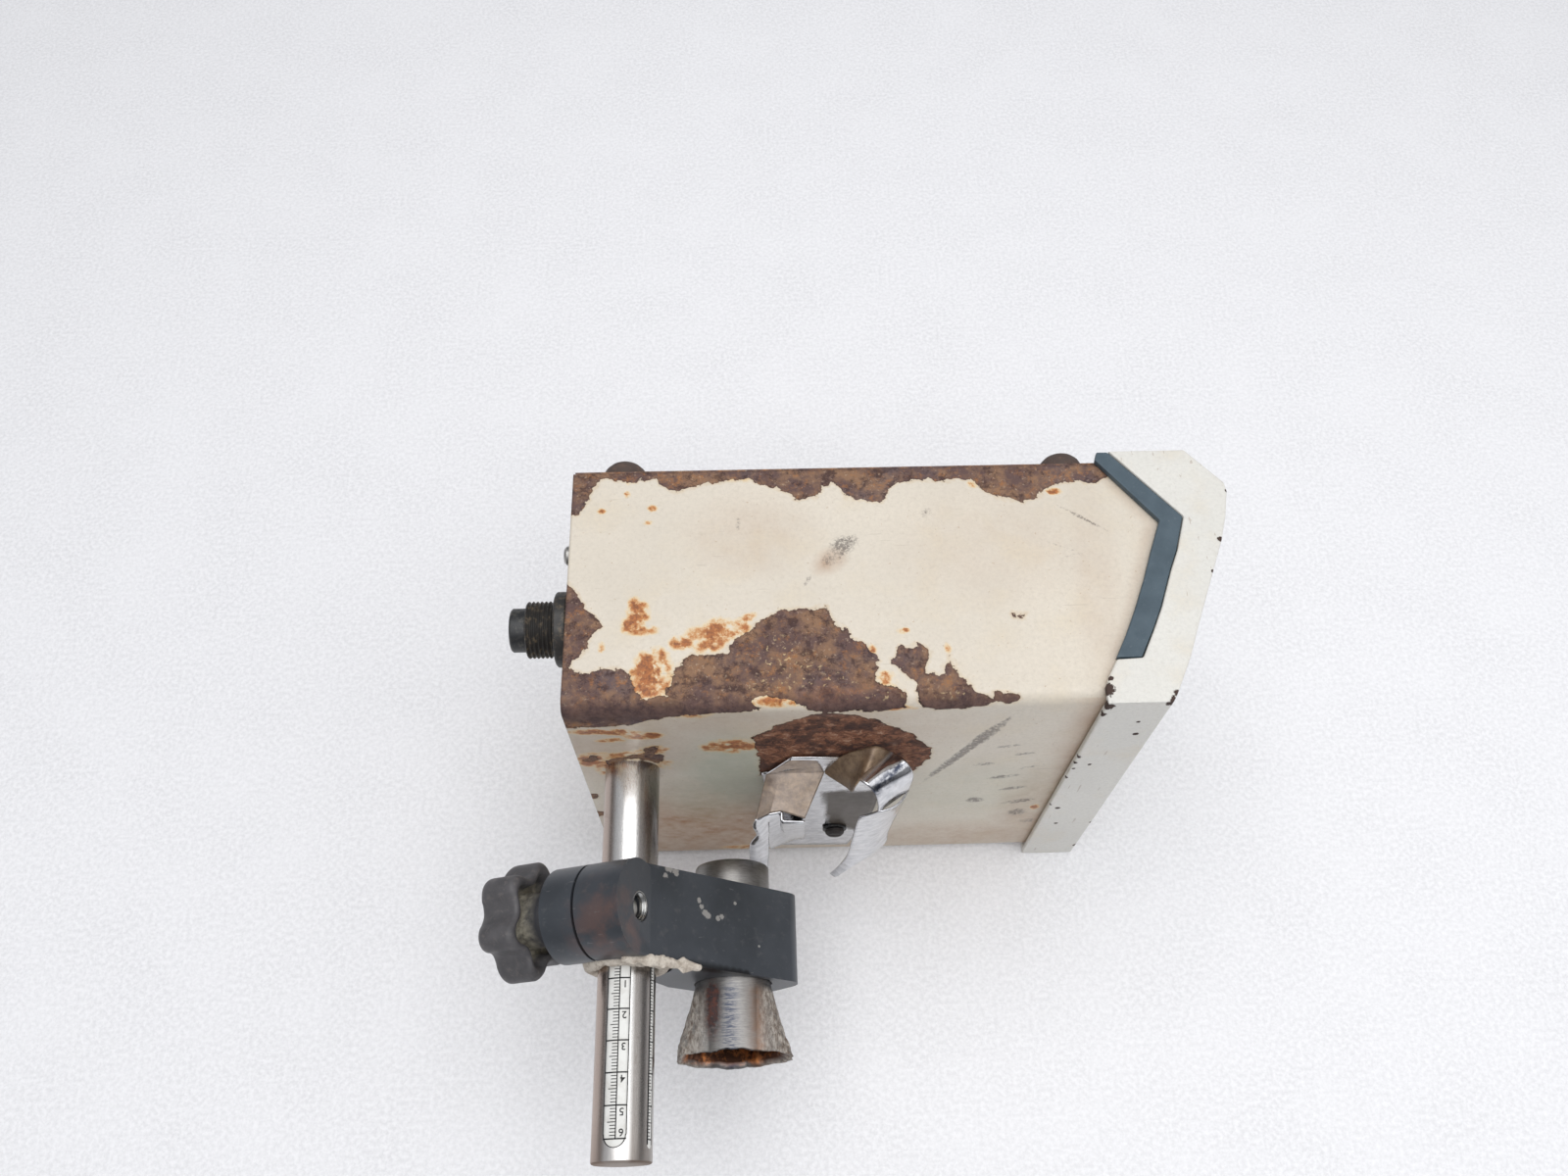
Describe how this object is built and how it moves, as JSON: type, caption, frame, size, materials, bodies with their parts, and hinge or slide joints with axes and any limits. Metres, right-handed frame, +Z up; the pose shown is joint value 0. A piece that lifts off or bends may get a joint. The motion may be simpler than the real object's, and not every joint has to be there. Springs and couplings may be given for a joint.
{
  "type": "rod mounted control box",
  "caption": "Sheet steel instrument box lying on its side, with a sloped front bezel, a graduated rod carrying a knob clamp and tube post, and a spring tool clip.",
  "frame": {"origin": "centre of the bounding box's underside; the box lies on one side as found, on the lower cheek of its bezel", "axes": "+X from the rear connector to the sloped front, +Y from the rod face to the feet, +Z up across the box"},
  "size_m": [0.2686, 0.2386, 0.171],
  "materials": {
    "cream_paint": "stoved cream enamel, chipped and rusted through",
    "bezel_paint": "light cream enamel, chipped on the edges",
    "slate_trim": "matt slate blue",
    "smoked_window": "smoked, glossy",
    "board_green": "solder mask",
    "black_connector": "black anodised, dusty",
    "insert_black": "moulded insulator",
    "plain_steel": "zinc plated, dulled",
    "rod_steel": "ground bright, stained",
    "scale_strip": "satin strip with black graduations",
    "cast_grey": "machined block",
    "black_anodised": "black anodised, scuffed",
    "pale_liner": "pale, crumbling edge",
    "knob_plastic": "moulded black plastic, dusty",
    "clip_chrome": "bright spring steel",
    "foot_rubber": "black rubber",
    "core_steel": "laminated iron",
    "coil_varnish": "taped winding",
    "relay_blue": "moulded case",
    "capacitor_sleeve": "plastic sleeve",
    "terminal_green": "moulded",
    "standoff_brass": "turned"
  },
  "bodies": {
    "housing": {"cover_shell": "cream_paint", "chassis_tray": "cream_paint", "front_bezel": "bezel_paint", "bezel_trim_upper": "slate_trim", "bezel_trim_lower": "slate_trim", "front_panel": "bezel_paint", "display_window": "smoked_window", "display_board": "board_green", "circuit_board": "board_green", "connector_shell": "black_connector", "connector_insert": "insert_black", "connector_flange": "black_connector", "connector_nut": "plain_steel", "mounting_rod": "rod_steel", "rod_scale_main": "scale_strip", "rod_scale_side": "scale_strip", "rod_socket": "cast_grey", "rod_bolt": "plain_steel", "clip_screw": "plain_steel", "rear_screw_lower": "plain_steel", "rear_screw_upper": "plain_steel", "transformer_core": "core_steel", "transformer_coil": "coil_varnish", "relay_1": "relay_blue", "relay_2": "relay_blue", "smoothing_capacitor": "capacitor_sleeve", "terminal_block": "terminal_green", "foot_1": "foot_rubber", "foot_screw_1": "plain_steel", "board_standoff_1": "standoff_brass", "foot_2": "foot_rubber", "foot_screw_2": "plain_steel", "board_standoff_2": "standoff_brass", "foot_3": "foot_rubber", "foot_screw_3": "plain_steel", "board_standoff_3": "standoff_brass", "foot_4": "foot_rubber", "foot_screw_4": "plain_steel", "board_standoff_4": "standoff_brass"},
    "carriage": {"clamp_liner": "pale_liner"},
    "arm": {"clamp_body": "black_anodised", "post_tube": "rod_steel", "post_set_screw": "plain_steel"},
    "jaw": {"clamp_jaw": "black_anodised"},
    "knob_carrier": {"knob_washer": "plain_steel"},
    "knob": {"clamp_knob": "knob_plastic", "knob_stud": "plain_steel"},
    "clip": {"tool_clip": "clip_chrome", "clip_washer": "plain_steel"}
  },
  "joints": [
    {"name": "rod_slide", "type": "slide", "parent": "housing", "child": "carriage", "axis": [0, -1, 0], "range_m": [0, 0.058]},
    {"name": "arm_swing", "type": "hinge", "parent": "carriage", "child": "arm", "pos_m": [-0.08392, -0.04113, 0.111], "axis": [0, 1, 0], "range_deg": [-180, 180]},
    {"name": "knob_travel", "type": "slide", "parent": "arm", "child": "knob_carrier", "axis": [-0.9164, 0, -0.4003], "range_m": [0, 0.00187]},
    {"name": "knob_turn", "type": "hinge", "parent": "knob_carrier", "child": "knob", "pos_m": [-0.09057, -0.04113, 0.12621], "axis": [-0.9164, 0, -0.4003], "range_deg": [0, 540]},
    {"name": "jaw_release", "type": "slide", "parent": "arm", "child": "jaw", "axis": [-0.9164, 0, -0.4003], "range_m": [0, 0.001]},
    {"name": "clip_swivel", "type": "hinge", "parent": "housing", "child": "clip", "pos_m": [-0.00622, 0.01413, 0.04], "axis": [0, 1, 0], "range_deg": [-15, 15]}
  ],
  "couplings": [
    {"joint": "knob_turn", "follows": "knob_travel", "rad_per_m": 5026.5},
    {"joint": "jaw_release", "follows": "knob_travel", "ratio": 0.5}
  ]
}
